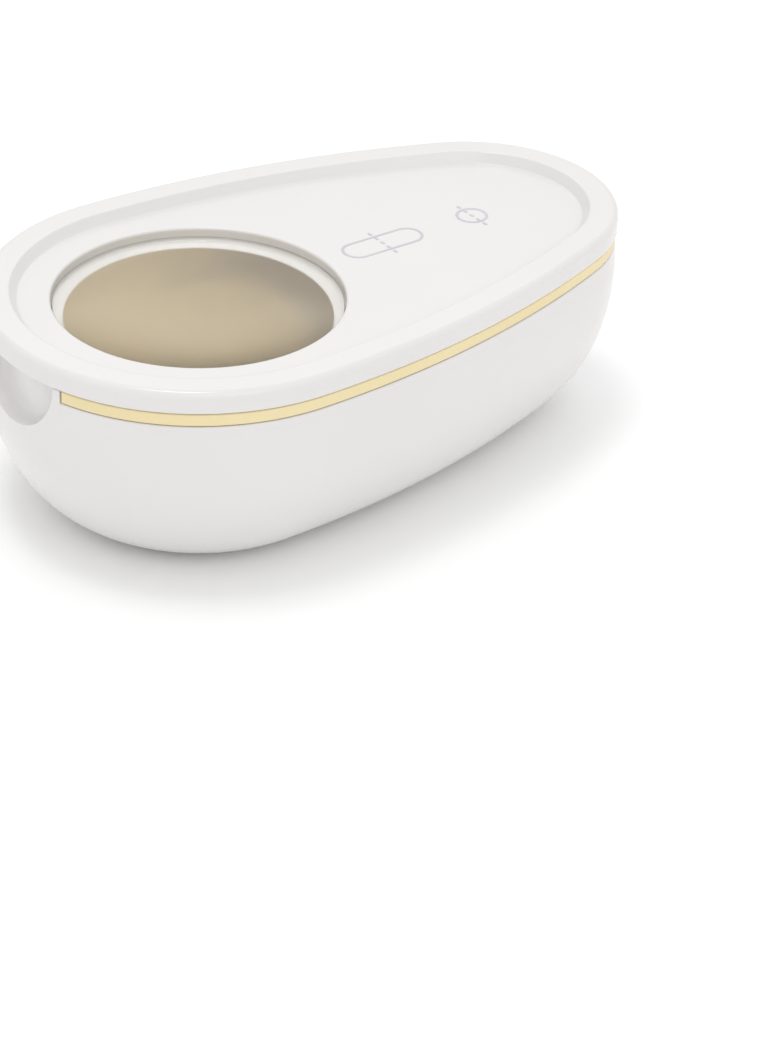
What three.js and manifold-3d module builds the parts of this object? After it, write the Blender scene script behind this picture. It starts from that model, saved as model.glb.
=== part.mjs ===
// Pill splitter: an egg-shaped case with a drop-in tray, a hinged lid that carries a blade,
// and a sprung guard that slides up past the blade.  Millimetres, +Z up.
// The origin is the middle of the base, and +X points to the narrow end, where the hinge is.
import * as THREE from "three";
import { mergeVertices } from "three/addons/utils/BufferGeometryUtils.js";
import Module from "manifold-3d";

const wasm = await Module();
wasm.setup();

// ---- driving dimensions -------------------------------------------------------------------

// case outline: four arcs that meet in line
const caseLength = 96;
const wideRadius = 29.3;
const narrowRadius = 20.2;
const sideRadius = 146;

// heights
const rimHeight = 28.4; // top of the tray rim, where the case parts from the lid
const lidHeight = 3;
const gap = 0.3; // between pieces that touch
const rimRelief = 0.3; // how far the tray rim sits inside the case outline

// shell
const shellWall = 1.8;
const baseRoundWidth = 14.5;
const baseRoundHeight = 23.2;
const footHeight = 0.4; // flat foot, a little proud of the rounded underside
const padHalfWidth = 9.5; // thick part of the wall that carries the thumb scoop
const padDepth = 3;
const scoopHalfWidth = 8.6;
const scoopDepth = 2.4; // its back wall follows the case outline
const scoopHeight = 8.2;
const scoopRoundness = 6;

// tray
const trayWall = 1.2;
const trayFlangeThickness = 1.5;
const trayRimWidth = 4.6;
const trayFloorClearance = 0.8;
const platformDepth = 11.5; // from the tray rim down to the cutting platform
const platformThickness = 1.6;
const platformLength = 38; // from the divider edge to the bulkhead
const bulkheadFromTip = 8;
const slitHalfWidth = 0.6;
const slitDepth = 0.9;
const guideThickness = 2;
const guideHeight = 5.8;
const guideNarrowHalfGap = 4;
const guideClearance = 2.2; // beside the guard, where the walls are widest apart
const guideCurl = 1.3; // how far the mouth turns back in
const guideEndClearance = 2; // to the bulkhead
const guideMouthSetback = 6; // from the divider edge

// hinge
const openingDegrees = 100;
const hingeFromTip = 2.6;
const hingeBelowRim = 0.4;
const barrelRadius = 1.9;
const pinRadius = 0.6;
const knuckleHalfWidth = 3;
const earWidth = 2.5;
const earWebThickness = 1.6;

// lid
const lidRimWidth = 4;
const lidSlopeWidth = 1;
const lidRecess = 1.5;
const lidSkin = 1.3;
const lidSkirtWall = 1.6;
const lidEdgeRound = 0.8;
const windowRadius = 19.8;
const lensFlangeWidth = 1.5;
const lensFlangeThickness = 1;
const lensEdgeHeight = 0.35; // upright edge of the crown above the flange
const lensDomeHeight = 1;
const lensDomeRings = 8;
const apertureLean = 1.6; // the liner's hole narrows this much towards its underside
const linerThickness = 2.2;
const linerClearance = 0.4;
const linerLedge = 0.9;

// blade and what holds it
const bladeLength = 20;
const bladeThickness = 0.4;
const bladeFromBulkhead = 28; // to its front end
const bladeBelowPlatform = 0.1;
const bevelHeight = 1.6;
const holderPlate = 1.4;
const holderLength = 25;
const holderFromBulkhead = 5;
const holderSideClearance = 1.8; // to the tray wall at the rear
const cheekClearance = 1.6; // to the guide walls at the front
const cheekThickness = 2.4;
const cheekAbovePlatform = 1;
const clampHeight = 2.2;
const clampHalfWidth = 7;
const clampClearance = 0.6; // to the narrow end of the guide walls
const clampTaperLength = 9;

// guard
const guardPlate = 1.2;
const guardFlangeThickness = 1;
const guardFlangeLength = 5;
const guardFlangeFromFront = 3.6; // from the front end of the blade
const guidePegRadius = 0.5;
const locatingPegRadius = 0.5;

// screws and springs
const screwRadius = 0.8;
const screwHeadRadius = 1.4;
const screwHeadHeight = 1;
const springRadius = 1.2;
const springWire = 0.36;
const springTurns = 4;

// facets
const arcDivisions = 8;
const roundSegments = 5;
const roundFacets = 20;
const windowFacets = 48;

// ---- derived places -----------------------------------------------------------------------

const wideX = -caseLength / 2 + wideRadius;
const narrowX = caseLength / 2 - narrowRadius;
const far = 2 * caseLength; // longer than anything it cuts

const shellTop = rimHeight - trayFlangeThickness - gap;
const flangeBottom = rimHeight - trayFlangeThickness;
const trayInset = trayRimWidth - trayWall;
const trayFloor = shellWall + trayFloorClearance;
const platformZ = rimHeight - platformDepth;
const bulkheadX = caseLength / 2 - bulkheadFromTip;
const dividerX = bulkheadX - platformLength;
const bladeFrontX = bulkheadX - bladeFromBulkhead;

const lidBottom = rimHeight + gap;
const lidTop = lidBottom + lidHeight;
const panelTop = lidTop - lidRecess;
const panelBottom = panelTop - lidSkin;
const linerTop = panelBottom - gap;
const linerBottom = linerTop - linerThickness;
const linerInset = trayRimWidth + linerClearance;
const lensFlangeRadius = windowRadius + lensFlangeWidth;
const lensBottom = linerTop - lensFlangeThickness;

const hingeX = caseLength / 2 - hingeFromTip;
const hingeZ = rimHeight - hingeBelowRim;
const earStart = knuckleHalfWidth + gap;
const earEnd = earStart + earWidth;

const guardHalfWidth = clampHalfWidth + gap + guardFlangeThickness;
const guideWidestHalfGap = guardHalfWidth + guideClearance;
const guideMouthHalfGap = guideWidestHalfGap - guideCurl;
const guideNarrowEndX = bulkheadX - guideEndClearance;
const guideMouthX = dividerX + guideMouthSetback;
const guideKneeX = guideNarrowEndX - 0.6 * (guideNarrowEndX - guideMouthX);

const holderRearX = bulkheadX - holderFromBulkhead;
const holderFrontX = holderRearX - holderLength;
const holderFrontHalfWidth = guideWidestHalfGap + guideThickness + cheekClearance + cheekThickness;
const holderRearHalfWidth = eggHalfWidth(holderRearX, trayRimWidth) - holderSideClearance;
const holderTop = linerBottom - gap;
const holderPlateBottom = holderTop - holderPlate;
const cheekBottom = platformZ + cheekAbovePlatform;
const clampTop = holderPlateBottom - gap;
const clampBottom = clampTop - clampHeight;
const clampFrontX = bladeFrontX - 1;
const clampRearX = bladeFrontX + bladeLength;
const clampTaperX = clampRearX - clampTaperLength;
const clampRearHalfWidth = guideNarrowHalfGap - clampClearance;
const clampInnerY = bladeThickness / 2 + gap;
const pegZ = (clampTop + clampBottom) / 2;
const frontPegX = bladeFrontX + 0.24 * bladeLength;
const rearPegX = bladeFrontX + 0.8 * bladeLength;

const guardBottom = platformZ + gap;
const guardTop = guardBottom + guardPlate;
const guardTravel = clampBottom - guardTop - 0.2;
const guardFlangeFrontX = bladeFrontX + guardFlangeFromFront;
const guardFlangeRearX = guardFlangeFrontX + guardFlangeLength;
const guideSlotMargin = 0.8;
const guardFlangeTop = pegZ + guideSlotMargin + 0.8;
const guidePegX = (guardFlangeFrontX + guardFlangeRearX) / 2;
const guardWindowMargin = 0.5;
const springPlaces = [
  [guidePegX + 4.2, 4],
  [guidePegX + 4.2, -4],
];
const springBottom = guardTop + gap;
const springTop = clampTop;

// ---- geometry helpers ---------------------------------------------------------------------

function solidOf(geometry) {
  const bare = geometry.clone();
  bare.deleteAttribute("normal");
  bare.deleteAttribute("uv");
  const merged = mergeVertices(bare, 1e-4);
  return new wasm.Manifold(
    new wasm.Mesh({
      numProp: 3,
      vertProperties: new Float32Array(merged.attributes.position.array),
      triVerts: new Uint32Array(merged.index.array),
    }),
  );
}

function addMesh(group, name, solid, material) {
  const made = solid.getMesh();
  const geometry = new THREE.BufferGeometry();
  geometry.setAttribute("position", new THREE.BufferAttribute(made.vertProperties, 3));
  geometry.setIndex(new THREE.BufferAttribute(made.triVerts, 1));
  geometry.computeVertexNormals();
  const mesh = new THREE.Mesh(geometry, material);
  mesh.name = name;
  group.add(mesh);
  return mesh;
}

function box(x0, x1, y0, y1, z0, z1) {
  const geometry = new THREE.BoxGeometry(x1 - x0, y1 - y0, z1 - z0);
  geometry.translate((x0 + x1) / 2, (y0 + y1) / 2, (z0 + z1) / 2);
  return solidOf(geometry);
}

// A round bar along Z from z0 to z1.
function uprightBar(x, y, radius, z0, z1, facets = roundFacets) {
  const geometry = new THREE.CylinderGeometry(radius, radius, z1 - z0, facets);
  geometry.rotateX(Math.PI / 2);
  geometry.translate(x, y, (z0 + z1) / 2);
  return solidOf(geometry);
}

// A round bar along Y from y0 to y1.
function crossBar(x, z, radius, y0, y1, facets = roundFacets) {
  const geometry = new THREE.CylinderGeometry(radius, radius, y1 - y0, facets);
  geometry.translate(x, (y0 + y1) / 2, z);
  return solidOf(geometry);
}

// The centre of one long side's arc, which runs in line with the arcs of both ends.
function sideCentre() {
  const spacing = narrowX - wideX;
  const toWide = sideRadius - wideRadius;
  const toNarrow = sideRadius - narrowRadius;
  const along = (toWide ** 2 - toNarrow ** 2 + spacing ** 2) / (2 * spacing);
  return { sideX: wideX + along, across: Math.sqrt(toWide ** 2 - along ** 2) };
}

// Half the width of the case at x, moved inwards by inset: the side's arc, or the narrow end's.
function eggHalfWidth(x, inset) {
  const { sideX, across } = sideCentre();
  const narrowAngle = Math.atan2(across, narrowX - sideX);
  if (x > narrowX + (narrowRadius - inset) * Math.cos(narrowAngle)) {
    return Math.sqrt((narrowRadius - inset) ** 2 - (x - narrowX) ** 2);
  }
  return Math.sqrt((sideRadius - inset) ** 2 - (x - sideX) ** 2) - across;
}

// The case outline, moved inwards by inset: wide end, two long sides and narrow end.
function eggShape(inset) {
  const { sideX, across } = sideCentre();
  const wideAngle = Math.atan2(across, wideX - sideX);
  const narrowAngle = Math.atan2(across, narrowX - sideX);
  const shape = new THREE.Shape();
  shape.absarc(narrowX, 0, narrowRadius - inset, -narrowAngle, narrowAngle, false);
  shape.absarc(sideX, -across, sideRadius - inset, narrowAngle, wideAngle, false);
  shape.absarc(wideX, 0, wideRadius - inset, wideAngle, 2 * Math.PI - wideAngle, false);
  shape.absarc(sideX, across, sideRadius - inset, -wideAngle, -narrowAngle, false);
  return shape;
}

function eggPrism(inset, z0, z1) {
  const geometry = new THREE.ExtrudeGeometry(eggShape(inset), {
    depth: z1 - z0,
    bevelEnabled: false,
    curveSegments: arcDivisions,
  });
  geometry.translate(0, 0, z0);
  return solidOf(geometry);
}

// An egg-shaped block whose lower edge is rounded in a quarter ellipse.
function roundedBlock(inset, z0, z1, roundWidth, roundHeight) {
  const geometry = new THREE.ExtrudeGeometry(eggShape(inset + roundWidth), {
    depth: z1 - z0,
    bevelSize: roundWidth,
    bevelThickness: roundHeight,
    bevelSegments: roundSegments,
    curveSegments: arcDivisions,
  });
  geometry.translate(0, 0, z0 + roundHeight);
  return solidOf(geometry).intersect(box(-far, far, -far, far, z0, z1));
}

// A plate of the given outline, a list of [x, y] corners, from z0 to z1.
function plate(corners, z0, z1) {
  const shape = new THREE.Shape(corners.map(([x, y]) => new THREE.Vector2(x, y)));
  const geometry = new THREE.ExtrudeGeometry(shape, { depth: z1 - z0, bevelEnabled: false });
  geometry.translate(0, 0, z0);
  return solidOf(geometry);
}

// The same corners on both sides of the long axis, in order round the outline.
function mirrored(corners) {
  const other = corners.map(([x, y]) => [x, -y]).reverse();
  return [...corners, ...other];
}

// ---- base: shell and tray -----------------------------------------------------------------

function hingeEar(side) {
  const y0 = side > 0 ? earStart : -earEnd;
  const y1 = y0 + earWidth;
  const webRear = hingeX - 0.4;
  const footTop = hingeZ - barrelRadius - 2;
  const footBottom = footTop - 4;
  return crossBar(hingeX, hingeZ, barrelRadius, y0, y1)
    .add(box(webRear - earWebThickness, webRear, y0, y1, footBottom, hingeZ))
    .add(box(webRear - earWebThickness, far, y0, y1, footBottom, footTop))
    .subtract(crossBar(hingeX, hingeZ, pinRadius + gap, -far, far));
}

// The space that the rear edge of the lid sweeps as the lid opens.
function lidSweep() {
  const reachUp = lidTop - hingeZ;
  const drop = hingeFromTip * Math.sin(THREE.MathUtils.degToRad(openingDegrees));
  const swing = reachUp * -Math.cos(THREE.MathUtils.degToRad(openingDegrees));
  const depth = drop + swing + gap;
  const fromCentre = hingeX - narrowX;
  const halfWidth = Math.sqrt(narrowRadius ** 2 - fromCentre ** 2) + gap;
  return { bottom: hingeZ - depth, halfWidth };
}

function scoop() {
  const geometry = new THREE.SphereGeometry(1, 24, 16);
  geometry.rotateX(Math.PI / 2);
  geometry.scale(scoopRoundness, scoopHalfWidth, scoopHeight);
  geometry.translate(-caseLength / 2, 0, rimHeight);
  return solidOf(geometry).subtract(eggPrism(scoopDepth, -far, far));
}

function outerShell() {
  const sweep = lidSweep();
  const padInside = eggPrism(padDepth, -far, far);
  const padFoot = rimHeight - scoopHeight - 1.5;
  const pad = eggPrism(0, padFoot, rimHeight)
    .subtract(padInside)
    .intersect(box(-far, wideX, -padHalfWidth, padHalfWidth, padFoot, rimHeight));
  const hollow = roundedBlock(shellWall, shellWall, rimHeight + 1, baseRoundWidth, baseRoundHeight);
  const foot = eggPrism(baseRoundWidth, 0, footHeight + shellWall / 2);
  const skin = roundedBlock(0, footHeight, shellTop, baseRoundWidth, baseRoundHeight - footHeight)
    .add(foot)
    .subtract(hollow);
  const ears = hingeEar(1).add(hingeEar(-1)).intersect(eggPrism(rimRelief, -far, far));
  return skin
    .subtract(box(bulkheadX, far, -sweep.halfWidth, sweep.halfWidth, sweep.bottom, far))
    .add(pad)
    .subtract(scoop())
    .add(ears);
}

// The line along the middle of one guide wall, from its narrow end to its mouth.
function guideLine() {
  const half = guideThickness / 2;
  const span = guideNarrowEndX - guideMouthX;
  const spread = guideWidestHalfGap - guideNarrowHalfGap;
  return new THREE.SplineCurve([
    new THREE.Vector2(guideNarrowEndX, guideNarrowHalfGap + half),
    new THREE.Vector2(guideNarrowEndX - 0.34 * span, guideNarrowHalfGap + 0.4 * spread + half),
    new THREE.Vector2(guideKneeX, guideNarrowHalfGap + 0.9 * spread + half),
    new THREE.Vector2(guideNarrowEndX - 0.8 * span, guideWidestHalfGap + half),
    new THREE.Vector2(guideMouthX, guideMouthHalfGap + half),
  ]);
}

function guideWall(side) {
  const line = guideLine();
  const steps = 14;
  const edges = [[], []];
  for (let i = 0; i <= steps; i += 1) {
    const point = line.getPoint(i / steps);
    const heading = line.getTangent(i / steps);
    const across = new THREE.Vector2(-heading.y, heading.x).multiplyScalar(guideThickness / 2);
    edges[0].push([point.x + across.x, side * (point.y + across.y)]);
    edges[1].unshift([point.x - across.x, side * (point.y - across.y)]);
  }
  return plate([...edges[0], ...edges[1]], platformZ - 0.5, platformZ + guideHeight);
}

function innerTray() {
  const sweep = lidSweep();
  const hingeBay = hingeX - 0.4 - earWebThickness - gap;
  const above = rimHeight + 1;
  const underPlatform = platformZ - platformThickness;
  const body = roundedBlock(trayInset, trayFloor, flangeBottom + 0.5, baseRoundWidth, baseRoundHeight)
    .intersect(box(-far, bulkheadX + trayWall, -far, far, -far, far));
  const flange = eggPrism(rimRelief, flangeBottom, rimHeight);
  const bowlFloor = trayFloor + trayWall;
  const bowl = roundedBlock(trayRimWidth, bowlFloor, above, baseRoundWidth, baseRoundHeight)
    .intersect(box(-far, dividerX, -far, far, -far, far));
  const upper = eggPrism(trayRimWidth, platformZ, above)
    .intersect(box(dividerX - 1, bulkheadX, -far, far, -far, far));
  const underside = roundedBlock(trayRimWidth, -1, underPlatform, baseRoundWidth, baseRoundHeight)
    .intersect(box(dividerX + trayWall, bulkheadX, -far, far, -far, underPlatform));
  const slit = box(
    bladeFrontX - 0.6,
    bladeFrontX + bladeLength + 0.6,
    -slitHalfWidth,
    slitHalfWidth,
    platformZ - slitDepth,
    platformZ + 1,
  );
  const padRoom = eggPrism(-1, flangeBottom - 1, above)
    .subtract(eggPrism(padDepth + gap, -far, far))
    .intersect(box(-far, wideX, -padHalfWidth - gap, padHalfWidth + gap, -far, far));
  return body
    .add(flange)
    .subtract(bowl)
    .subtract(upper)
    .subtract(underside)
    .subtract(padRoom)
    .subtract(box(hingeBay, far, -sweep.halfWidth, sweep.halfWidth, -far, far))
    .add(guideWall(1))
    .add(guideWall(-1))
    .subtract(slit);
}

function hingePin() {
  return crossBar(hingeX, hingeZ, pinRadius, -earEnd + 0.2, earEnd - 0.2, 16);
}

// ---- lid ----------------------------------------------------------------------------------

function lidOuter() {
  const geometry = new THREE.ExtrudeGeometry(eggShape(lidEdgeRound), {
    depth: lidHeight,
    bevelSize: lidEdgeRound,
    bevelThickness: lidEdgeRound,
    bevelSegments: 3,
    curveSegments: arcDivisions,
  });
  geometry.translate(0, 0, lidBottom - lidEdgeRound);
  return solidOf(geometry).intersect(box(-far, far, -far, far, lidBottom, far));
}

// The recess in the top, whose wall slopes in from the rim to the panel.
function lidRecessBlock() {
  const floorInset = lidRimWidth + lidSlopeWidth;
  const geometry = new THREE.ExtrudeGeometry(eggShape(floorInset), {
    depth: lidRecess,
    bevelSize: lidSlopeWidth,
    bevelThickness: lidRecess,
    bevelSegments: 1,
    curveSegments: arcDivisions,
  });
  geometry.translate(0, 0, panelTop + lidRecess);
  return solidOf(geometry);
}

function lidKnuckle() {
  const neck = box(
    hingeX - barrelRadius,
    hingeX + barrelRadius,
    -knuckleHalfWidth,
    knuckleHalfWidth,
    hingeZ,
    panelTop,
  );
  return crossBar(hingeX, hingeZ, barrelRadius, -knuckleHalfWidth, knuckleHalfWidth)
    .add(neck)
    .intersect(eggPrism(rimRelief, -far, far));
}

function lidCover() {
  const topSkin = lidTop - lidSkin;
  const rimPocket = eggPrism(lidSkirtWall, lidBottom - 1, topSkin - 0.2)
    .subtract(eggPrism(lidRimWidth + lidSlopeWidth - 0.3, -far, far))
    .intersect(box(-far, hingeX - barrelRadius - 2, -far, far, -far, far));
  const underPanel = eggPrism(lidRimWidth + lidSlopeWidth - 0.4, lidBottom - 1, panelBottom)
    .intersect(box(-far, hingeX - barrelRadius - 2, -far, far, -far, far));
  const earRoom = crossBar(hingeX, hingeZ, barrelRadius + gap, -earEnd - gap, earEnd + gap);
  const cleared = lidOuter()
    .subtract(lidRecessBlock())
    .subtract(rimPocket)
    .subtract(underPanel)
    .subtract(uprightBar(wideX, 0, windowRadius, lidBottom - 1, lidTop + 1, windowFacets))
    .subtract(earRoom);
  return cleared.add(lidKnuckle()).subtract(crossBar(hingeX, hingeZ, pinRadius + gap, -far, far));
}

// A solid turned round the middle of the window, from a list of [radius, height] corners.
function turnedAtWindow(corners) {
  const points = corners.map(([radius, height]) => new THREE.Vector2(radius, height));
  const geometry = new THREE.LatheGeometry(points, windowFacets);
  geometry.rotateX(Math.PI / 2);
  geometry.translate(wideX, 0, 0);
  return solidOf(geometry);
}

function windowLens() {
  const crownRadius = windowRadius - gap;
  const crownEdge = linerTop + lensEdgeHeight;
  const corners = [
    [0, lensBottom],
    [lensFlangeRadius, lensBottom],
    [lensFlangeRadius, linerTop],
    [crownRadius, linerTop],
  ];
  for (let i = lensDomeRings; i > 0; i--) {
    const share = i / lensDomeRings;
    corners.push([crownRadius * share, crownEdge + lensDomeHeight * (1 - share ** 4)]);
  }
  corners.push([0, crownEdge + lensDomeHeight]);
  return turnedAtWindow(corners);
}

function guardWindow(side, z0, z1) {
  const inner = clampHalfWidth - guardWindowMargin + gap;
  const outer = guardHalfWidth + guardWindowMargin;
  const front = guardFlangeFrontX - guardWindowMargin;
  const rear = guardFlangeRearX + guardWindowMargin;
  const low = side > 0 ? inner : -outer;
  const high = side > 0 ? outer : -inner;
  return box(front, rear, low, high, z0, z1);
}

function lidLiner() {
  const ledgeRadius = windowRadius - 0.8;
  const aperture = turnedAtWindow([
    [0, linerBottom - 1],
    [ledgeRadius - apertureLean, linerBottom - 1],
    [ledgeRadius - apertureLean, linerBottom],
    [ledgeRadius, linerBottom + linerLedge],
    [ledgeRadius, linerTop + 1],
    [0, linerTop + 1],
  ]);
  let liner = eggPrism(linerInset, linerBottom, linerTop)
    .intersect(box(-far, bulkheadX - linerClearance, -far, far, -far, far))
    .subtract(aperture)
    .subtract(
      uprightBar(wideX, 0, lensFlangeRadius + gap, linerBottom + linerLedge, far, windowFacets),
    )
    .subtract(guardWindow(1, -far, far))
    .subtract(guardWindow(-1, -far, far));
  for (const [x, y] of holderScrewPlaces()) {
    liner = liner.subtract(uprightBar(x, y, screwRadius + gap, -far, far, 12));
  }
  return liner;
}

// ---- blade holder, clamp and blade --------------------------------------------------------

// Half the width of the holder at x, on its outer face: straight in front, then tapering.
function holderHalfWidth(x) {
  const share = Math.max(0, (x - guideKneeX) / (holderRearX - guideKneeX));
  return holderFrontHalfWidth + share * (holderRearHalfWidth - holderFrontHalfWidth);
}

function holderScrewPlaces() {
  const front = holderFrontX + 3;
  const rear = holderRearX - 4;
  const inFrom = cheekThickness + screwHeadRadius + 1;
  return mirrored([
    [front, holderHalfWidth(front) - inFrom],
    [rear, holderHalfWidth(rear) - inFrom],
  ]);
}

function clampScrewPlaces() {
  return mirrored([
    [clampFrontX + 2.5, 4.2],
    [clampTaperX + 5, 3],
  ]);
}

function bladeHolder() {
  const outline = mirrored([
    [holderFrontX, holderFrontHalfWidth],
    [guideKneeX, holderFrontHalfWidth],
    [holderRearX, holderRearHalfWidth],
  ]);
  const inside = mirrored([
    [holderFrontX - 1, holderFrontHalfWidth - cheekThickness],
    [guideKneeX, holderFrontHalfWidth - cheekThickness],
    [holderRearX - cheekThickness, holderHalfWidth(holderRearX - cheekThickness) - cheekThickness],
  ]);
  const rearOpening = box(
    holderRearX - cheekThickness - 1,
    far,
    -holderHalfWidth(holderRearX) + cheekThickness,
    holderHalfWidth(holderRearX) - cheekThickness,
    -far,
    platformZ + guideHeight + 1,
  );
  let holder = plate(outline, cheekBottom, holderTop)
    .subtract(plate(inside, cheekBottom - 1, holderPlateBottom))
    .subtract(rearOpening)
    .subtract(guardWindow(1, -far, far))
    .subtract(guardWindow(-1, -far, far));
  for (const [x, y] of [...holderScrewPlaces(), ...clampScrewPlaces()]) {
    holder = holder.subtract(uprightBar(x, y, screwRadius + gap, -far, far, 12));
  }
  return holder;
}

// One half of the clamp: side 1 is the left half, which carries the locating pegs.
function bladeClamp(side) {
  let clamp = plate(
    [
      [clampFrontX, side * clampInnerY],
      [clampFrontX, side * clampHalfWidth],
      [clampTaperX, side * clampHalfWidth],
      [clampRearX, side * clampRearHalfWidth],
      [clampRearX, side * clampInnerY],
    ],
    clampBottom,
    clampTop,
  );
  for (const [x, y] of clampScrewPlaces()) {
    const headRoom = clampBottom + screwHeadHeight + gap;
    clamp = clamp
      .subtract(uprightBar(x, y, screwRadius + gap, -far, far, 12))
      .subtract(uprightBar(x, y, screwHeadRadius + gap, -far, headRoom, 16));
  }
  for (const [x, y] of springPlaces) {
    clamp = clamp.subtract(uprightBar(x, y, springRadius + gap, -far, far, 16));
  }
  const slider = side > 0 ? [clampHalfWidth - 0.5, guardHalfWidth] : [-guardHalfWidth, 0.5 - clampHalfWidth];
  clamp = clamp.add(crossBar(guidePegX, pegZ, guidePegRadius, ...slider, 12));
  for (const x of [frontPegX, rearPegX]) {
    const peg = crossBar(x, pegZ, locatingPegRadius, -1.6, clampInnerY + 0.5, 12);
    const socket = crossBar(x, pegZ, locatingPegRadius + gap, -2, 0, 12);
    clamp = side > 0 ? clamp.add(peg) : clamp.subtract(socket);
  }
  return clamp;
}

function blade() {
  const half = bladeThickness / 2;
  const edge = platformZ - bladeBelowPlatform;
  const section = new THREE.Shape([
    new THREE.Vector2(-half, clampTop - 0.2),
    new THREE.Vector2(-half, edge + bevelHeight),
    new THREE.Vector2(-0.03, edge),
    new THREE.Vector2(0.03, edge),
    new THREE.Vector2(half, edge + bevelHeight),
    new THREE.Vector2(half, clampTop - 0.2),
  ]);
  const geometry = new THREE.ExtrudeGeometry(section, { depth: bladeLength, bevelEnabled: false });
  geometry.rotateX(Math.PI / 2);
  geometry.rotateZ(Math.PI / 2);
  geometry.translate(bladeFrontX, 0, 0);
  let made = solidOf(geometry);
  for (const x of [frontPegX, rearPegX]) {
    made = made.subtract(crossBar(x, pegZ, locatingPegRadius + gap, -1, 1, 12));
  }
  return made;
}

// ---- guard --------------------------------------------------------------------------------

// A plate with a slot that the blade passes, and two flanges that slide on the clamp's pegs.
function bladeGuard() {
  const rear = clampRearX + 2.4;
  const front = clampFrontX + 0.4;
  const slotHalf = bladeThickness / 2 + 0.5;
  const outline = mirrored([
    [front, guardHalfWidth],
    [guardFlangeRearX + 0.5, guardHalfWidth],
    [rear, guideNarrowHalfGap - 0.5],
  ]);
  const notch = mirrored([
    [front - 1, 3],
    [front + 2.6, 0.2],
  ]);
  let guard = plate(outline, guardBottom, guardTop)
    .subtract(box(-far, bladeFrontX + bladeLength + 0.6, -slotHalf, slotHalf, -far, far))
    .subtract(plate(notch, guardBottom - 1, guardTop + 1));
  for (const side of [1, -1]) {
    const low = side > 0 ? guardHalfWidth - guardFlangeThickness : -guardHalfWidth;
    const high = low + guardFlangeThickness;
    const slotLow = pegZ - guideSlotMargin - guardTravel;
    const slotHigh = pegZ + guideSlotMargin;
    const flange = box(
      guardFlangeFrontX,
      guardFlangeRearX,
      low,
      high,
      guardBottom,
      guardFlangeTop,
    ).subtract(
      box(
        guidePegX - guidePegRadius - gap,
        guidePegX + guidePegRadius + gap,
        low - 1,
        high + 1,
        slotLow,
        slotHigh,
      ),
    );
    guard = guard.add(flange);
  }
  return guard;
}

// ---- fasteners and springs ----------------------------------------------------------------

// A pan-head screw that points up from the origin, with its head below.
function screwSolid(shankLength) {
  const profile = [
    new THREE.Vector2(0, -screwHeadHeight),
    new THREE.Vector2(screwHeadRadius * 0.75, -screwHeadHeight),
    new THREE.Vector2(screwHeadRadius, -0.5 * screwHeadHeight),
    new THREE.Vector2(screwHeadRadius, 0),
    new THREE.Vector2(screwRadius, 0),
    new THREE.Vector2(screwRadius, shankLength - 0.5),
    new THREE.Vector2(0.3, shankLength),
    new THREE.Vector2(0, shankLength),
  ];
  const geometry = new THREE.LatheGeometry(profile, 12);
  geometry.rotateX(Math.PI / 2);
  return solidOf(geometry);
}

class Helix extends THREE.Curve {
  getPoint(t, target = new THREE.Vector3()) {
    const angle = 2 * Math.PI * springTurns * t;
    const radius = springRadius - springWire / 2;
    const height = springTop - springBottom - springWire;
    return target.set(
      radius * Math.cos(angle),
      radius * Math.sin(angle),
      springWire / 2 + height * t,
    );
  }
}

// A coil spring that stands on the origin.
function springSolid() {
  const section = new THREE.Shape();
  section.absarc(0, 0, springWire / 2, 0, 2 * Math.PI, false);
  const geometry = new THREE.ExtrudeGeometry(section, {
    steps: springTurns * 12,
    curveSegments: 3,
    bevelEnabled: false,
    extrudePath: new Helix(),
  });
  return solidOf(geometry);
}

// ---- assembly -----------------------------------------------------------------------------

const whitePlastic = () =>
  new THREE.MeshStandardMaterial({ color: 0xf1f0ee, roughness: 0.35, metalness: 0 });
const linerPlastic = () =>
  new THREE.MeshStandardMaterial({ color: 0xe9e7e4, roughness: 0.45, metalness: 0 });
const yellowPlastic = () =>
  new THREE.MeshStandardMaterial({ color: 0xe8d9a4, roughness: 0.45, metalness: 0 });
const clearPlastic = () =>
  new THREE.MeshStandardMaterial({
    color: 0xf7f6f2,
    roughness: 0.05,
    metalness: 0,
    transparent: true,
    opacity: 0.35,
  });
const steel = () => new THREE.MeshStandardMaterial({ color: 0xb9bcc0, roughness: 0.3, metalness: 1 });

const group = new THREE.Group();
const base = new THREE.Group();
const lid = new THREE.Group();
const guard = new THREE.Group();
group.add(base, lid);
lid.add(guard);

addMesh(base, "outer_shell", outerShell(), whitePlastic());
addMesh(base, "inner_tray", innerTray(), yellowPlastic());
addMesh(base, "hinge_pin", hingePin(), steel());

addMesh(lid, "lid_cover", lidCover(), whitePlastic());
addMesh(lid, "lid_liner", lidLiner(), linerPlastic());
addMesh(lid, "window_lens", windowLens(), clearPlastic());
addMesh(lid, "blade_holder", bladeHolder(), whitePlastic());
addMesh(lid, "blade_clamp_left", bladeClamp(1), linerPlastic());
addMesh(lid, "blade_clamp_right", bladeClamp(-1), linerPlastic());
addMesh(lid, "blade", blade(), steel());

const corners = ["front_left", "rear_left", "rear_right", "front_right"];
holderScrewPlaces().forEach(([x, y], i) => {
  const headTop = holderPlateBottom - gap;
  const screw = addMesh(lid, "holder_screw_" + corners[i], screwSolid(linerTop - gap - headTop), steel());
  screw.position.set(x, y, headTop);
});
clampScrewPlaces().forEach(([x, y], i) => {
  const headTop = clampBottom + screwHeadHeight;
  const screw = addMesh(lid, "clamp_screw_" + corners[i], screwSolid(holderTop - gap - headTop), steel());
  screw.position.set(x, y, headTop);
});

addMesh(guard, "blade_guard", bladeGuard(), whitePlastic());
springPlaces.forEach(([x, y], i) => {
  const spring = addMesh(lid, "guard_spring_" + ["left", "right"][i], springSolid(), steel());
  spring.position.set(x, y, springBottom);
});

export default group;
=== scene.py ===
import math

import bmesh
import bpy
from mathutils import Matrix, Vector


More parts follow.
